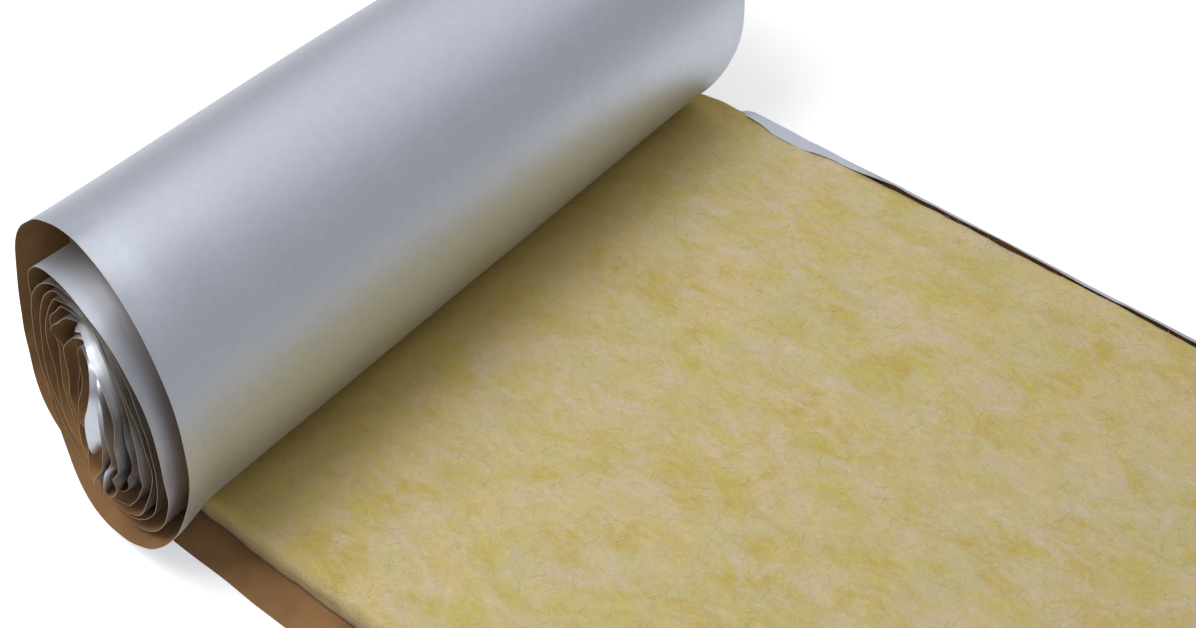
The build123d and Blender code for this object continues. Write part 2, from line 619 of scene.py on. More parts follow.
def wool_material(look):
    """Spun glass wool with yellow binder: matt, mottled in clouds, with streaks of fibre along the lay.

    A glass fibre is under a hundredth of a millimetre thick, so the finest pattern is tufts of 4.5 mm.
    """
    material, tree = new_material("glass_wool")
    space = add_node(tree, "ShaderNodeTexCoord").outputs["Object"]
    lay = add_node(
        tree, "ShaderNodeMapping", {"Vector": space, "Rotation": (0.0, 0.0, LAY_ANGLE), "Scale": LAY_SCALE}
    )
    cloud = {}
    for label, (size_mm, detail, distortion, shift) in WOOL_CLOUDS.items():
        moved = add_node(
            tree, "ShaderNodeMapping",
            {"Vector": lay.outputs[0], "Location": (shift, shift * CLOUD_SLANT, 0.0)},
        )
        cloud[label] = add_node(
            tree, "ShaderNodeTexNoise",
            {"Vector": moved.outputs[0], "Scale": per_metre(size_mm), "Detail": detail, "Roughness": 0.68,
             "Distortion": distortion},
        ).outputs["Fac"]
    spot = add_node(tree, "ShaderNodeSeparateXYZ", {0: space}).outputs

    # Each coat of colour over the ones before: what it follows, from where to where, and its colour
    coats = (
        (cloud["broad"], 0.34, 0.66, look.sage),
        (cloud["amber"], 0.44, 0.68, look.amber),
        (cloud["lemon"], 0.43, 0.74, look.lemon),
        (cloud["blush"], 0.42, 0.76, look.blush),
        # Painted shade: the wool turns deeper yellow from 0.36 m toward the roll
        (spot["X"], 0.36, 0.12, look.nip_shade),
        (spot["Z"], 0.050, 0.010, look.side),
        # Painted contact shadow: dark brown over the wool's lowest 11 mm
        (spot["Z"], 0.011, 0.002, look.foot_shadow),
    )
    colour = look.straw
    for value, none, full, coat in coats:
        share = add_node(
            tree, "ShaderNodeMapRange", {"Value": value, "From Min": none, "From Max": full},
            interpolation_type="SMOOTHSTEP",
        )
        colour = add_node(
            tree, "ShaderNodeMix", {MIX_FACTOR: share.outputs[0], MIX_FIRST: colour, MIX_SECOND: coat},
            data_type="RGBA",
        ).outputs[MIX_RESULT]
    shade = add_node(
        tree, "ShaderNodeMapRange",
        {"Value": cloud["streaks"], "From Min": 0.3, "From Max": 0.7, "To Min": 0.80, "To Max": 1.08},
    )
    streaked = add_node(
        tree, "ShaderNodeMix", {MIX_FACTOR: STREAK_SHADE, MIX_FIRST: colour, MIX_SECOND: shade.outputs[0]},
        data_type="RGBA", blend_type="MULTIPLY",
    )
    relief = add_node(
        tree, "ShaderNodeMath", {0: cloud["strands"], 1: STRAND_RELIEF, 2: cloud["streaks"]},
        operation="MULTIPLY_ADD",
    )
    bump = add_node(tree, "ShaderNodeBump", {"Height": relief.outputs[0], "Strength": 0.6, "Distance": 0.004})
    shader = add_node(
        tree, "ShaderNodeBsdfPrincipled",
        {"Base Color": streaked.outputs[MIX_RESULT], "Roughness": 0.95, "Specular IOR Level": 0.15,
         "Sheen Weight": 0.12, "Sheen Roughness": 0.6, "Normal": bump.outputs[0]},
    )
    add_node(tree, "ShaderNodeOutputMaterial", {"Surface": shader.outputs[0]})
    return material


# Waves of the facing's bare edges and of its body, each a cell along and across, a height and a shift
EDGE_WAVES = (((0.085, 0.2, 1.0), 0.0030, 0.0), ((0.032, 0.08, 1.0), 0.0011, 5.1))
BODY_WAVES = (((0.17, 0.34, 1.0), 0.0011, 9.4), ((0.05, 0.11, 1.0), 0.0003, 2.2))
# How far in from each edge its waves reach, and how much more the inner turns' near edges wave
NEAR_WAVE_REACH = 0.075
FAR_WAVE_REACH = 0.016
INNER_WAVES = 1.3
# How far the outer turn stands off its line, and how much further its far edge does
BODY_RISE = 0.0014
FAR_RISE = 0.0035
# The near edge droops outward low on the right: how far, at which quarter, its spread and its reach in
DROOP = 0.012
DROOP_TURN = 3.45
DROOP_SPREAD = 0.95
DROOP_REACH = 0.095
# Waves grow this fast from the nip, and lift the tail's facing off the floor by this share of themselves
WAVE_GROWTH = 3
TAIL_WAVES = 0.5
# How ragged the near edge runs: the size of a notch, and its depth on the outer turn and further in
NOTCH_CELL = 0.07
NOTCH_SHIFT = 3.3
OUTER_NOTCH = 0.0012
INNER_NOTCH = 0.006
NOTCH_START = 7
NOTCH_SPREAD = 12

# The innermost near edges are bent inward in places: from which quarter, in full after how many, how far
# from the edge, how deep and how far back
FOLDS_START = 21
FOLDS_SPREAD = 5
FOLD_REACH = 0.040
FOLD_DEPTH = 0.019
FOLD_BACK = 0.013
FOLD_CURVE = 1.5
# Where: a bent place's size, how sharply it ends, how common it is, and each quarter's step in the pattern
FOLD_CELL = (0.085, 1.0, 1.0)
FOLD_CONTRAST = 1.7
FOLD_SHARE = 0.25
FOLD_SHIFT = 7.2
FOLD_APART = 0.05

# How finely the facing is drawn: rows in the tail, the outer turn and each inner quarter
TAIL_ROWS = 130
OUTER_ROWS = 165
INNER_ROWS = 19
# How far apart columns lie in a band at each edge, across the outer turn and across the inner turns
EDGE_COLUMN = 0.009
OUTER_COLUMN = 0.017
INNER_COLUMN = 0.2
EDGE_BAND = 0.072
# The scene's facing and wool stop this far inside the end of their solids
FACING_SHORT = 0.002
WOOL_SHORT = 0.003
# Edges sharper than this are shaded as edges
SHARP_ANGLE = math.radians(45)

# The far edge's lip: where on the tail it starts, how soon it is full, and its height up the wool's side
LIP_START = 0.145
LIP_RISE = 0.12
LIP_HEIGHT = 0.0640
# It folds over the wool's top, and further round one place on the tail
LIP_FOLD = 0.0045
WIDE_FOLD = 0.017
WIDE_PLACE = 0.33
WIDE_LENGTH = 0.15
# Its waves, and how high and how far across they go, there and elsewhere
LIP_WAVES = ((0.12, 1.0, 1.7), (0.045, 0.5, 6.1), (0.026, 0.5, 2.9))
TOP_WAVE = 0.0010
WIDE_TOP_WAVE = 0.0016
FOLD_WAVE = 0.001
WIDE_FOLD_WAVE = 0.005
FOLD_WAVE_CELL = 0.055
FOLD_WAVE_SHIFT = 4.4
# Its section: shares of the height and of the fold, how it bellies out, leans in, and lifts off the wool
LIP_UP = (0.0, 0.04, 0.09, 0.3, 0.6, 0.88, 0.95, 1.0)
LIP_OVER = (0.15, 0.5, 1.0)
LIP_BELLY = 0.004
LIP_FOOT = 0.002
FOOT_SHARE = 1 / 12
LIP_LEAN = 0.006
LIP_LIFT = 0.0016
LIP_CURL = 0.0026
# Length of the lip's section, for the patterns on it
LIP_GIRTH = 0.08


def facing_height(along, across, width, turn):
    """How far the facing stands off its line, outward."""
    spot = spots(along, across)
    near = smooth_step(1 - across / NEAR_WAVE_REACH)
    far = smooth_step(1 - (width - across) / FAR_WAVE_REACH)
    outer = smooth_step(QUARTERS_IN_TURN + 1 - turn)
    edge = WAVES.layered(spot, EDGE_WAVES)
    body = BODY_RISE + WAVES.layered(spot, BODY_WAVES)
    droop = smooth_step(1 - np.abs(turn - DROOP_TURN) / DROOP_SPREAD) * smooth_step(1 - across / DROOP_REACH)
    edges = edge * near * (INNER_WAVES - (INNER_WAVES - 1) * outer) + (edge + FAR_RISE) * far
    return edges + body * outer + np.where(turn > 0, DROOP * droop, 0.0)


def folded_in(along, across, turn):
    """Where the edge of the innermost turns is bent over the middle, from zero to one."""
    wave = WAVES.at(spots(along, 0.0, turn * FOLD_APART), FOLD_CELL, FOLD_SHIFT)
    place = np.clip(wave * FOLD_CONTRAST + FOLD_SHARE, 0, 1)
    bent = place * smooth_step((turn - FOLDS_START) / FOLDS_SPREAD)
    return bent * np.clip(1 - across / FOLD_REACH, 0, 1) ** FOLD_CURVE


def make_facing(sizes, look):
    """The facing as one thin sheet: foil outside, kraft inside, cut edges of paper."""
    winding = Winding(sizes)
    width = FACING_HIGH.y - FACING_LOW.y - sizes.core_slip
    near_edge = FACING_HIGH.y - width

    tail = np.linspace(FACING_HIGH.x - FACING_SHORT, 0.0, TAIL_ROWS)
    turn = np.linspace(0.0, QUARTERS_IN_TURN, OUTER_ROWS)[1:]
    across = spread(0.0, width, EDGE_COLUMN, OUTER_COLUMN, EDGE_BAND)
    place, outward = winding.points(turn)
    place = np.concatenate([np.stack([tail, np.zeros_like(tail)], 1), place])
    outward = np.concatenate([np.tile([0.0, -1.0], (len(tail), 1)), outward])
    turns = np.concatenate([np.zeros_like(tail), turn])
    outer_turn, run = sheet_block(place, outward, turns, 0.0, across, near_edge, width, sizes, winding)

    rows = INNER_ROWS * (winding.quarters - QUARTERS_IN_TURN) + 1
    turn = np.linspace(QUARTERS_IN_TURN, winding.quarters, rows)
    across = spread(0.0, width, EDGE_COLUMN, INNER_COLUMN, EDGE_BAND)
    place, outward = winding.points(np.minimum(turn, winding.quarters - BEFORE_END))
    inner_turns, _ = sheet_block(place, outward, turn, run, across, near_edge, width, sizes, winding)
    lip = lip_block(tail[tail > LIP_START], near_edge, width)

    materials = [foil_material(look), kraft_material(look), cut_edge_material(look)]
    sheet = grid_mesh("facing_sheet", (outer_turn, inner_turns, lip), materials)
    weld(sheet)
    solid = sheet.modifiers.new("thickness", "SOLIDIFY")
    solid.thickness = sizes.facing_thickness
    solid.offset = -1.0
    solid.material_offset = 1
    solid.material_offset_rim = 2
    apply_modifiers(sheet)
    keep_above_floor(sheet)
    sheet.data.set_sharp_from_angle(angle=SHARP_ANGLE)
    return sheet


def sheet_block(place, outward, turns, run, across, near_edge, width, sizes, winding):
    """One block of the facing, each section point swept across the strip, and the strip's run at its end."""
    rows, columns = len(place), len(across)
    steps = np.hypot(*np.diff(place, axis=0).T)
    along = np.concatenate([[0.0], np.cumsum(steps)]) + run
    row = np.repeat(np.arange(rows), columns)
    v = np.tile(across, rows)
    turn = turns[row]
    share = v / width
    height = facing_height(along[row], v, width, turn)
    lift = np.where(turn > 0, height * smooth_step(turn * WAVE_GROWTH), -np.abs(height) * TAIL_WAVES)
    fold = folded_in(along[row], v, turn)
    section = place[row] + outward[row] * (lift - FOLD_DEPTH * fold)[:, None]
    section = settled(section, share, (turn > 0) * 1.0, sizes, winding)
    inner = smooth_step((turn - NOTCH_START) / NOTCH_SPREAD)
    ragged = WAVES.at(spots(along[row]), NOTCH_CELL, NOTCH_SHIFT) * (OUTER_NOTCH + INNER_NOTCH * inner)
    y = near_edge + v + edge_drift(turn, share) + ragged + FOLD_BACK * fold
    points = np.stack([section[:, 0], y, np.maximum(section[:, 1], 0.0)], 1)
    strip = np.stack([along[row], v], 1)
    return (points.reshape(rows, columns, 3), strip.reshape(rows, columns, 2)), along[-1]


def lip_block(tail, near_edge, width):
    """The facing's far edge, turned up the wool's far side and folded a little over its top."""
    far_edge = near_edge + width
    rise = smooth_step((tail - LIP_START) / LIP_RISE)
    wave = WAVES.layered(spots(tail), LIP_WAVES)
    wide = np.exp(-(((tail - WIDE_PLACE) / WIDE_LENGTH) ** 2))
    top = (LIP_HEIGHT + (TOP_WAVE + WIDE_TOP_WAVE * wide) * wave) * rise
    fold_wave = (FOLD_WAVE + WIDE_FOLD_WAVE * wide) * WAVES.at(spots(tail), FOLD_WAVE_CELL, FOLD_WAVE_SHIFT)
    fold = (LIP_FOLD + WIDE_FOLD * wide + fold_wave) * rise
    columns = []
    for share in LIP_UP:
        belly = LIP_BELLY * math.sin(math.pi * share) + LIP_FOOT * min(1.0, share / FOOT_SHARE)
        columns.append(spots(tail, far_edge + belly - LIP_LEAN * share, top * share))
    for share in LIP_OVER:
        lift = LIP_LIFT * math.sin(share * math.pi / 2) + LIP_CURL * share * wave
        columns.append(spots(tail, far_edge - LIP_LEAN - fold * share, top + lift * rise))
    points = np.stack(columns, 1)
    along = tail[0] - tail
    v = width + np.linspace(0.0, LIP_GIRTH, len(columns))
    strip = np.stack(np.broadcast_arrays(along[:, None], v[None, :]), -1)
    return points, strip


WOOL_TOP = 0.060
# How round the torn wool's long edges are
NEAR_CORNER = 0.017
FAR_CORNER = 0.006
# The wool of the turns is drawn in from the near edge by its own pull, in full after half a quarter
WOOL_SUNK = 0.035
SUNK_GROWTH = 2
# Extra room between wound wool and the facing outside it, and room between wool and the turn on it
OUTSIDE_ROOM = 0.0005
CONTACT_ROOM = 0.0003

# The torn top's swells, clumps and tufts, each as a cell, a height and a shift, drawn out along the lay
TOP_LUMPS = ((0.11, 0.0030, 0.0), (0.034, 0.0018, 2.1), (0.013, 0.0010, 4.3), (0.0065, 0.0005, 6.5))
TOP_STRETCH = 0.45
# Layers of the cut sides, and of the cut end over its last stretch
SIDE_LAYERS = (((0.05, 1.0, 0.006), 0.0020, 8.0), ((0.022, 1.0, 0.03), 0.0022, 1.0))
END_LAYERS = (((1.0, 0.02, 0.006), 0.002, 5.0),)
END_REACH = 0.01
# The near side wanders from straight, fading out over this share of the width
SIDE_WANDER = ((0.045, 0.0028, 3.0), (0.016, 0.0012, 9.0))
WANDER_SHARE = 1 / 30
# The sides stand out a little, least at the facing
SIDE_OUT = 0.001
SIDE_LEAST = 0.3
SIDE_BOW = 0.9
# The tail's wool follows the roll's settling from this place on, in full this much nearer
HELD_FROM = 0.30
HELD_SPREAD = 0.20
# Lumps of the wool's ends between the turns, and how far those ends swell
TURN_LUMPS = ((0.03, 0.003, 2.5), ((0.006, 1.0, 0.006), 0.0016, 6.2))
TURN_SWELL = 0.002

# How finely the wool is drawn: rows of the flat, the swell, the contact and each wound quarter
FLAT_ROWS = 205
SWELL_ROWS = 22
CONTACT_ROWS = 12
WOUND_ROWS = 12
# Rows up a side, and columns as shares of the width: in a band at each edge, between, and that band
OPEN_SIDE_ROWS = 9
WOUND_SIDE_ROWS = 4
OPEN_COLUMNS = (0.0035, 0.0070, 0.018)
WOUND_COLUMNS = (0.012, 0.2, 0.03)
FLOOR_COLUMNS = 9


def wool_top_line(sizes, winding):
    """The tail's wool top from its end to the foot of the roll: flat, a swell, then against the roll."""
    last = QUARTERS_IN_TURN - 1
    rest = winding.centres[last]
    rest_radius = winding.radii[last] + CONTACT_ROOM
    top = sizes.wool_clearance + WOOL_TOP
    depth = rest[1] - (top - sizes.nip_swell)
    run = math.sqrt((rest_radius + sizes.nip_swell) ** 2 - depth**2)
    lean = math.atan2(run, depth)
    swell = (rest[0] + run, top - sizes.nip_swell)
    flat = np.linspace(WOOL_HIGH.x - WOOL_SHORT, swell[0], FLAT_ROWS)
    arc = np.linspace(0.0, lean, SWELL_ROWS)[1:]
    contact = np.linspace(lean, 0.0, CONTACT_ROWS)[1:]
    line = [
        np.stack([flat, np.full_like(flat, top)], 1),
        np.stack([swell[0] - sizes.nip_swell * np.sin(arc), swell[1] + sizes.nip_swell * np.cos(arc)], 1),
        np.stack([rest[0] + rest_radius * np.sin(contact), rest[1] - rest_radius * np.cos(contact)], 1),
    ]
    free = [np.ones(len(flat)), 1 - np.linspace(0, 1, len(arc)) ** 2, np.zeros(len(contact))]
    return np.concatenate(line), np.concatenate(free)


def wool_lumps(points):
    """Height of the wool's torn top: broad swells, clumps and tufts, drawn out along the lay."""
    along = points[:, 0] * math.cos(LAY_ANGLE) - points[:, 1] * math.sin(LAY_ANGLE)
    over = points[:, 0] * math.sin(LAY_ANGLE) + points[:, 1] * math.cos(LAY_ANGLE)
    return FLUFF.layered(spots(along * TOP_STRETCH, over, points[:, 2]), TOP_LUMPS)


def ring_shares(crossing, up_rows, floor_crossing):
    """Shares of width and height round a wool section: up the near side, over, down and back."""
    rise = np.linspace(0, 1, up_rows + 1)[:-1]
    return np.concatenate([
        np.stack([np.zeros(up_rows), rise], 1),
        np.stack([crossing[:-1], np.ones(len(crossing) - 1)], 1),
        np.stack([np.ones(up_rows), 1 - rise], 1),
        np.stack([floor_crossing[::-1][:-1], np.zeros(len(floor_crossing) - 1)], 1),
    ])


def tube_faces(start, count, size):
    """Quads that join rings of equal length into a tube."""
    index = start + np.arange(count * size).reshape(count, size)
    after = np.roll(index, -1, axis=1)
    return np.stack([index[:-1], index[1:], after[1:], after[:-1]], -1).reshape(-1, 4)


def side_of(over):
    """Minus one on the near side, one on the far side and zero between."""
    return np.where(over <= 0, -1.0, np.where(over >= 1, 1.0, 0.0))


def open_wool(sizes, winding, near, far):
    """The wool of the tail, from its end to where the roll lies on it."""
    line, free = wool_top_line(sizes, winding)
    shares = ring_shares(spread(0.0, 1.0, *OPEN_COLUMNS), OPEN_SIDE_ROWS, np.linspace(0, 1, FLOOR_COLUMNS))
    rows, size = len(line), len(shares)
    row = np.repeat(np.arange(rows), size)
    over = np.tile(shares[:, 0], rows)
    up = np.tile(shares[:, 1], rows)
    floor = sizes.wool_clearance
    height = line[row, 1] - floor
    corner_size = np.where(over > 0.5, FAR_CORNER, NEAR_CORNER) * free[row]
    y = near + over * (far - near)
    from_side = np.minimum(y - near, far - y)
    corner = np.clip(1 - from_side / np.maximum(corner_size, TINY), 0, 1)
    dip = corner_size * (1 - np.sqrt(1 - corner**2))
    z = np.where(up >= 1, floor + height - dip, floor + (height - corner_size) * up)
    points = np.stack([line[row, 0], y, z], 1)
    points[:, 2] += wool_lumps(points) * (up >= 1) * free[row]
    bow = SIDE_LEAST + (1 - SIDE_LEAST) * np.sin(np.pi * np.clip(up, 0, 1) * SIDE_BOW)
    points[:, 1] += side_of(over) * bow * (SIDE_OUT + FLUFF.layered(points, SIDE_LAYERS))
    wander = FLUFF.layered(points * (1.0, 0.0, 0.0), SIDE_WANDER)
    points[:, 1] += wander * smooth_step(1 - over / WANDER_SHARE)
    end = smooth_step(1 - (WOOL_HIGH.x - points[:, 0]) / END_REACH)
    points[:, 0] += end * FLUFF.layered(points, END_LAYERS)
    weight = smooth_step((HELD_FROM - points[:, 0]) / HELD_SPREAD)
    section = settled(points[:, [0, 2]], over, weight, sizes, winding)
    points[:, 0], points[:, 2] = section[:, 0], np.maximum(section[:, 1], floor / 2)
    return points, tube_faces(0, rows, size)


def wound_wool(sizes, winding, near, far, start):
    """The wool inside the turns, between the facing and the next turn in."""
    turn = np.linspace(0.0, winding.quarters - BEFORE_END, WOUND_ROWS * winding.quarters + 1)
    outer, _ = winding.points(turn, -sizes.wool_clearance - OUTSIDE_ROOM)
    inner, _ = winding.points(turn + QUARTERS_IN_TURN, CONTACT_ROOM)
    crossing = spread(0.0, 1.0, *WOUND_COLUMNS)
    shares = ring_shares(crossing, WOUND_SIDE_ROWS, crossing)
    rows, size = len(turn), len(shares)
    row = np.repeat(np.arange(rows), size)
    over = np.tile(shares[:, 0], rows)
    up = np.tile(shares[:, 1], rows)
    section = outer[row] * (1 - up)[:, None] + inner[row] * up[:, None]
    share = (over * (far - near) + sizes.near_flange) / (far - near + sizes.near_flange + sizes.far_flange)
    section = settled(section, share, np.ones_like(share), sizes, winding)
    sunk = WOOL_SUNK * smooth_step(turn[row] * SUNK_GROWTH) * (1 - over)
    y = near + over * (far - near) + sunk + edge_drift(np.maximum(turn[row], TINY), share)
    points = np.stack([section[:, 0], y, np.maximum(section[:, 1], sizes.wool_clearance)], 1)
    puff = TURN_SWELL + FLUFF.layered(points, TURN_LUMPS)
    points[:, 1] += side_of(over) * np.sin(np.pi * up) * puff
    return points, tube_faces(start, rows, size)


def make_wool(sizes, look):
    """The glass wool: the open length with its torn top, and the layer inside the turns."""
    winding = Winding(sizes)
    near = WOOL_LOW.y + sizes.core_slip
    far = WOOL_HIGH.y
    tail, tail_faces = open_wool(sizes, winding, near, far)
    wound, wound_faces = wound_wool(sizes, winding, near, far, len(tail))
    points = np.concatenate([tail, wound])
    faces = np.concatenate([tail_faces, wound_faces])
    wool = make_mesh("wool_blanket", points, faces, points[:, :2], [wool_material(look)])
    close_ends(wool)
    return wool


def close_ends(thing):
    """Fills the open rings at both ends of each tube, and points every face outward."""
    work = bmesh.new()
    work.from_mesh(thing.data)
    rim = [edge for edge in work.edges if edge.is_boundary]
    bmesh.ops.holes_fill(work, edges=rim, sides=0)
    bmesh.ops.recalc_face_normals(work, faces=work.faces)
    work.to_mesh(thing.data)
    work.free()


# Loose strands lie on faces past this place on the tail, above this height and not turned down by more
FIBRES_START = 0.27
FIBRES_LOW = 0.036
FIBRES_UP = -0.3
# A strand is a bent thread, drawn here one unit long, with this many sides
THREAD_START = (-0.5, 0.0, -0.03)
THREAD_MIDDLE = (0.0, 0.28, 0.06)
THREAD_END = (0.5, 0.0, -0.01)
THREAD_STEPS = 5
THREAD_SIDES = 3
# Strands are cut to between these shares of their full length
SHORTEST = 0.35
LONGEST = 1.25


def strand_material(look):
    """Loose strands of spun glass with binder: pale straw in 50 mm patches, a little glossy."""
    material, tree = new_material("spun_glass_strands")
    space = add_node(tree, "ShaderNodeTexCoord").outputs["Object"]
    patch = add_node(tree, "ShaderNodeTexNoise", {"Vector": space, "Scale": per_metre(50), "Detail": 2.0})
    colour = add_node(
        tree, "ShaderNodeMix",
        {MIX_FACTOR: patch.outputs["Fac"], MIX_FIRST: look.strand, MIX_SECOND: look.straw},
        data_type="RGBA",
    )
    shader = add_node(
        tree, "ShaderNodeBsdfPrincipled",
        {"Base Color": colour.outputs[MIX_RESULT], "Roughness": 0.6, "Specular IOR Level": 0.3},
    )
    add_node(tree, "ShaderNodeOutputMaterial", {"Surface": shader.outputs[0]})
    return material


def fibre_tree(material):
    """Geometry Nodes: loose strands scattered over the wool, each a bent thread lying near the surface."""
    tree = bpy.data.node_groups.new("loose_fibres", "GeometryNodeTree")
    face = tree.interface
    face.new_socket("Geometry", in_out="INPUT", socket_type="NodeSocketGeometry")
    for label, kind in (("Density", "NodeSocketFloat"), ("Length", "NodeSocketFloat"),
                        ("Radius", "NodeSocketFloat"), ("Seed", "NodeSocketInt")):
        face.new_socket(label, in_out="INPUT", socket_type=kind)
    face.new_socket("Geometry", in_out="OUTPUT", socket_type="NodeSocketGeometry")
    given = add_node(tree, "NodeGroupInput").outputs

    place = add_node(tree, "GeometryNodeInputPosition").outputs[0]
    where = add_node(tree, "ShaderNodeSeparateXYZ", {0: place}).outputs
    normal = add_node(tree, "GeometryNodeInputNormal").outputs[0]
    up = add_node(tree, "ShaderNodeSeparateXYZ", {0: normal}).outputs["Z"]
    chosen = add_node(tree, "FunctionNodeCompare", {"A": up, "B": FIBRES_UP}, operation="GREATER_THAN")
    for value, least in ((where["X"], FIBRES_START), (where["Z"], FIBRES_LOW)):
        test = add_node(tree, "FunctionNodeCompare", {"A": value, "B": least}, operation="GREATER_THAN")
        chosen = add_node(
            tree, "FunctionNodeBooleanMath", {0: chosen.outputs[0], 1: test.outputs[0]}, operation="AND"
        )
    scatter = add_node(
        tree, "GeometryNodeDistributePointsOnFaces",
        {"Mesh": given["Geometry"], "Selection": chosen.outputs[0], "Density": given["Density"],
         "Seed": given["Seed"]},
    )

    thread = add_node(
        tree, "GeometryNodeCurveQuadraticBezier",
        {"Resolution": THREAD_STEPS, "Start": THREAD_START, "Middle": THREAD_MIDDLE, "End": THREAD_END},
    )
    size = add_node(
        tree, "ShaderNodeCombineXYZ", {"X": given["Length"], "Y": given["Length"], "Z": given["Length"]}
    )
    sized = add_node(
        tree, "GeometryNodeTransform", {"Geometry": thread.outputs[0], "Scale": size.outputs[0]}
    )
    round_wire = add_node(
        tree, "GeometryNodeCurvePrimitiveCircle", {"Resolution": THREAD_SIDES, "Radius": given["Radius"]},
        mode="RADIUS",
    )
    wire = add_node(
        tree, "GeometryNodeCurveToMesh",
        {"Curve": sized.outputs[0], "Profile Curve": round_wire.outputs[0], "Fill Caps": True},
    )

    spin = add_node(
        tree, "FunctionNodeRandomValue", {2: -math.pi, 3: math.pi, "Seed": given["Seed"]}, data_type="FLOAT"
    )
    about = add_node(tree, "ShaderNodeCombineXYZ", {"Z": spin.outputs[1]})
    turned = add_node(
        tree, "FunctionNodeRotateRotation", {0: scatter.outputs["Rotation"], 1: about.outputs[0]},
        rotation_space="LOCAL",
    )
    grown = add_node(tree, "FunctionNodeRandomValue", {2: SHORTEST, 3: LONGEST}, data_type="FLOAT")
    laid = add_node(
        tree, "GeometryNodeInstanceOnPoints",
        {"Points": scatter.outputs["Points"], "Instance": wire.outputs[0], "Rotation": turned.outputs[0],
         "Scale": grown.outputs[1]},
    )
    real = add_node(tree, "GeometryNodeRealizeInstances", {0: laid.outputs[0]})
    dressed = add_node(
        tree, "GeometryNodeSetMaterial", {"Geometry": real.outputs[0], "Material": material}
    )
    add_node(tree, "NodeGroupOutput", {0: dressed.outputs[0]})
    return tree


def make_fibres(look):
    """Loose strands over the open wool, made real on a copy of its mesh.

    A real fibre is under a hundredth of a millimetre thick, so each strand stands for a bundle.
    """
    wool = bpy.data.objects["wool_blanket"]
    fibres = bpy.data.objects.new("loose_fibres", wool.data.copy())
    bpy.context.collection.objects.link(fibres)
    tree = fibre_tree(strand_material(look))
    scatter = fibres.modifiers.new("scatter", "NODES")
    scatter.node_group = tree
    asked = {
        "Density": float(look.fibre_count), "Length": look.fibre_length,
        "Radius": look.fibre_radius, "Seed": look.seed,
    }
    for item in tree.interface.items_tree:
        if item.in_out == "INPUT" and item.name in asked:
            scatter[item.identifier] = asked[item.name]
    apply_modifiers(fibres)
    keep_above_floor(fibres)
    return fibres


# The floor's half side, and its level, just under the part so that the two don't meet
FLOOR_HALF = 30.0
FLOOR_LEVEL = -0.0006
# From this level down, the sky is near white
HORIZON = -0.02
SENSOR_WIDTH = 36.0
# Each softbox: where it stands, where it looks, and its two sides
BACK_SOFTBOX = ((-1.1, 2.5, 3.0), (0.2, 0.1, 0.1), (5.0, 3.6))
TOP_SOFTBOX = ((-1.0, -1.55, 3.5), (0.5, 0.0, 0.0), (2.4, 2.4))


def make_floor(look):
    """A white floor that glows a little for the camera and in reflections, and takes the shadow."""
    material, tree = new_material("white_floor")
    rays = add_node(tree, "ShaderNodeLightPath")
    seen = rays.outputs["Is Camera Ray"]
    for label in ("Is Glossy Ray", "Is Transmission Ray"):
        seen = add_node(
            tree, "ShaderNodeMath", {0: seen, 1: rays.outputs[label]}, operation="MAXIMUM"
        ).outputs[0]
    glow = add_node(tree, "ShaderNodeMath", {0: seen, 1: look.floor_glow}, operation="MULTIPLY")
    shader = add_node(
        tree, "ShaderNodeBsdfPrincipled",
        {"Base Color": look.floor, "Roughness": 0.9, "Emission Color": "#FFFFFF",
         "Emission Strength": glow.outputs[0]},
    )
    add_node(tree, "ShaderNodeOutputMaterial", {"Surface": shader.outputs[0]})
    signs = ((-1, -1), (1, -1), (1, 1), (-1, 1))
    corners = np.array([[x * FLOOR_HALF, y * FLOOR_HALF, FLOOR_LEVEL] for x, y in signs])
    floor = make_mesh("floor", corners, np.array([[0, 1, 2, 3]]), corners[:, :2], [material])


def make_sky(look):
    """Even light from all round, brighter below the horizon."""
    world = bpy.data.worlds.new("studio")
    world.use_nodes = True
    tree = world.node_tree
    tree.nodes.clear()
    heading = add_node(tree, "ShaderNodeTexCoord").outputs["Generated"]
    level = add_node(tree, "ShaderNodeSeparateXYZ", {0: heading}).outputs["Z"]
    strength = add_node(
        tree, "ShaderNodeMapRange",
        {"Value": level, "From Min": HORIZON, "From Max": 0.0, "To Min": 1.0, "To Max": look.sky},
    )
    light = add_node(
        tree, "ShaderNodeBackground", {"Color": look.sky_colour, "Strength": strength.outputs[0]}
    )
    add_node(tree, "ShaderNodeOutputWorld", {"Surface": light.outputs[0]})
    bpy.context.scene.world = world


def make_softbox(name, box, power):
    """A rectangular lamp from its place, what it looks at and its sides."""
    place, target, sides = box
    data = bpy.data.lights.new(name, "AREA")
    data.shape = "RECTANGLE"
    data.size, data.size_y = sides
    data.energy = power
    lamp = bpy.data.objects.new(name, data)
    bpy.context.collection.objects.link(lamp)
    lamp.location = place
    lamp.rotation_mode = "QUATERNION"
    lamp.rotation_quaternion = (Vector(target) - Vector(place)).to_track_quat("-Z", "Y")


def make_camera(look):
    """The camera at the photograph's angle."""
    data = bpy.data.cameras.new("camera")
    data.sensor_width = SENSOR_WIDTH
    data.lens = look.camera_lens
    camera = bpy.data.objects.new("camera", data)
    bpy.context.collection.objects.link(camera)
    camera.location = look.camera_place
    yaw, pitch = look.camera_yaw, look.camera_pitch
    heading = Vector((math.cos(yaw) * math.cos(pitch), math.sin(yaw) * math.cos(pitch), -math.sin(pitch)))
    camera.rotation_mode = "QUATERNION"
    upright = heading.to_track_quat("-Z", "Y")
    camera.rotation_quaternion = upright @ Quaternion((0, 0, 1), look.camera_roll)
    bpy.context.scene.camera = camera


def make_stage(look):
    """A white floor, an even sky, two soft lamps and the camera."""
    make_floor(look)
    make_sky(look)
    make_softbox("back_softbox", BACK_SOFTBOX, look.back_power)
    make_softbox("top_softbox", TOP_SOFTBOX, look.top_power)
    make_camera(look)
    bpy.context.scene.view_settings.view_transform = "Standard"


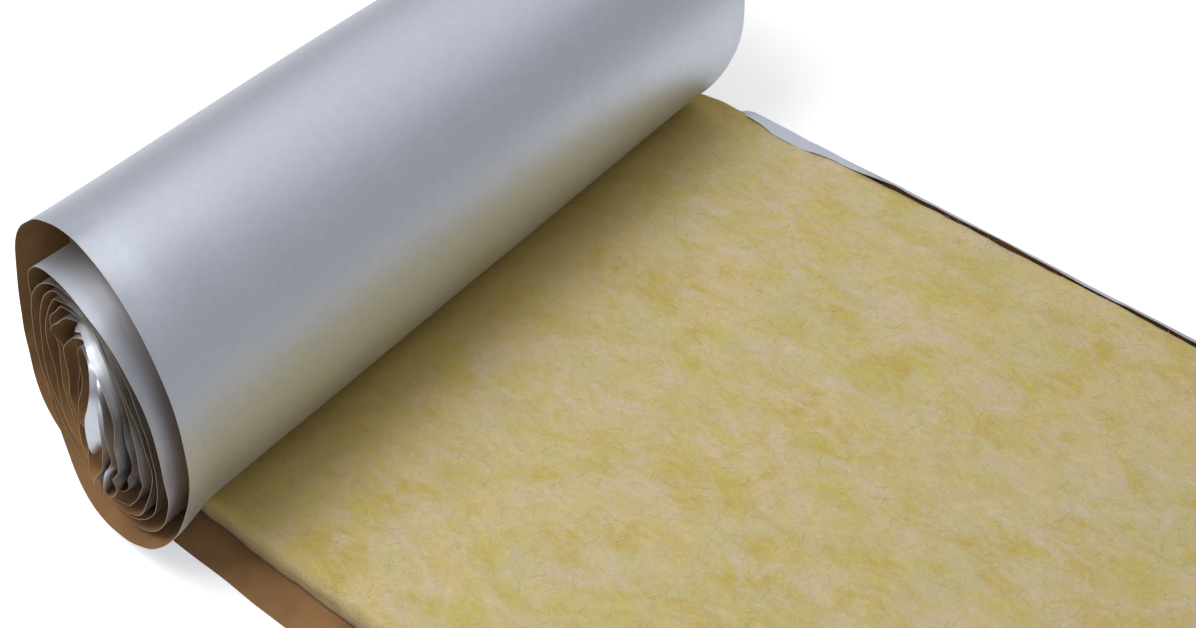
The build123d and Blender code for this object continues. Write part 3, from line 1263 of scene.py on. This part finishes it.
class BuildFacing(bpy.types.Operator):
    """Builds the foil and kraft facing as one sheet"""

    bl_idname = "insulation_roll.build_facing"
    bl_label = "Facing"

    def execute(self, context):
        sheet = make_facing(context.scene.strip_sizes, context.scene.facing_look)
        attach(sheet, BODY)
        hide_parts(FACING_NODE)
        return {"FINISHED"}


class BuildWool(bpy.types.Operator):
    """Builds the glass wool, laid flat in the tail and pressed in the turns"""

    bl_idname = "insulation_roll.build_wool"
    bl_label = "Glass wool"

    def execute(self, context):
        wool = make_wool(context.scene.strip_sizes, context.scene.wool_look)
        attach(wool, BODY)
        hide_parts(WOOL_NODE)
        return {"FINISHED"}


class BuildFibres(bpy.types.Operator):
    """Scatters loose fibres over the open wool"""

    bl_idname = "insulation_roll.build_fibres"
    bl_label = "Loose fibres"

    def execute(self, context):
        fibres = make_fibres(context.scene.wool_look)
        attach(fibres, BODY)
        return {"FINISHED"}


class BuildStage(bpy.types.Operator):
    """Builds the floor, the lamps and the camera"""

    bl_idname = "insulation_roll.build_stage"
    bl_label = "Stage"

    def execute(self, context):
        make_stage(context.scene.stage_look)
        return {"FINISHED"}


class InsulationRollPanel(bpy.types.Panel):
    """Lists the pieces of the roll"""

    bl_idname = "VIEW3D_PT_insulation_roll"
    bl_label = "Insulation Roll"
    bl_space_type = "VIEW_3D"
    bl_region_type = "UI"
    bl_category = "Insulation Roll"

    def draw(self, context):
        for group in ("strip_sizes", "facing_look", "wool_look", "stage_look"):
            box = self.layout.box()
            settings = getattr(context.scene, group)
            for name in settings.__annotations__:
                box.prop(settings, name)
        for operator in (BuildFacing, BuildWool, BuildFibres, BuildStage):
            self.layout.operator(operator.bl_idname)


CLASSES = (
    StripSizes, FacingLook, WoolLook, StageLook,
    BuildFacing, BuildWool, BuildFibres, BuildStage, InsulationRollPanel,
)


def register():
    for kind in CLASSES:
        bpy.utils.register_class(kind)
    bpy.types.Scene.strip_sizes = PointerProperty(type=StripSizes)
    bpy.types.Scene.facing_look = PointerProperty(type=FacingLook)
    bpy.types.Scene.wool_look = PointerProperty(type=WoolLook)
    bpy.types.Scene.stage_look = PointerProperty(type=StageLook)


def unregister():
    for name in ("strip_sizes", "facing_look", "wool_look", "stage_look"):
        delattr(bpy.types.Scene, name)
    for kind in reversed(CLASSES):
        bpy.utils.unregister_class(kind)


def main():
    register()
    bpy.ops.insulation_roll.build_facing()
    bpy.ops.insulation_roll.build_wool()
    bpy.ops.insulation_roll.build_fibres()
    bpy.ops.insulation_roll.build_stage()


if __name__ == "__main__":
    main()
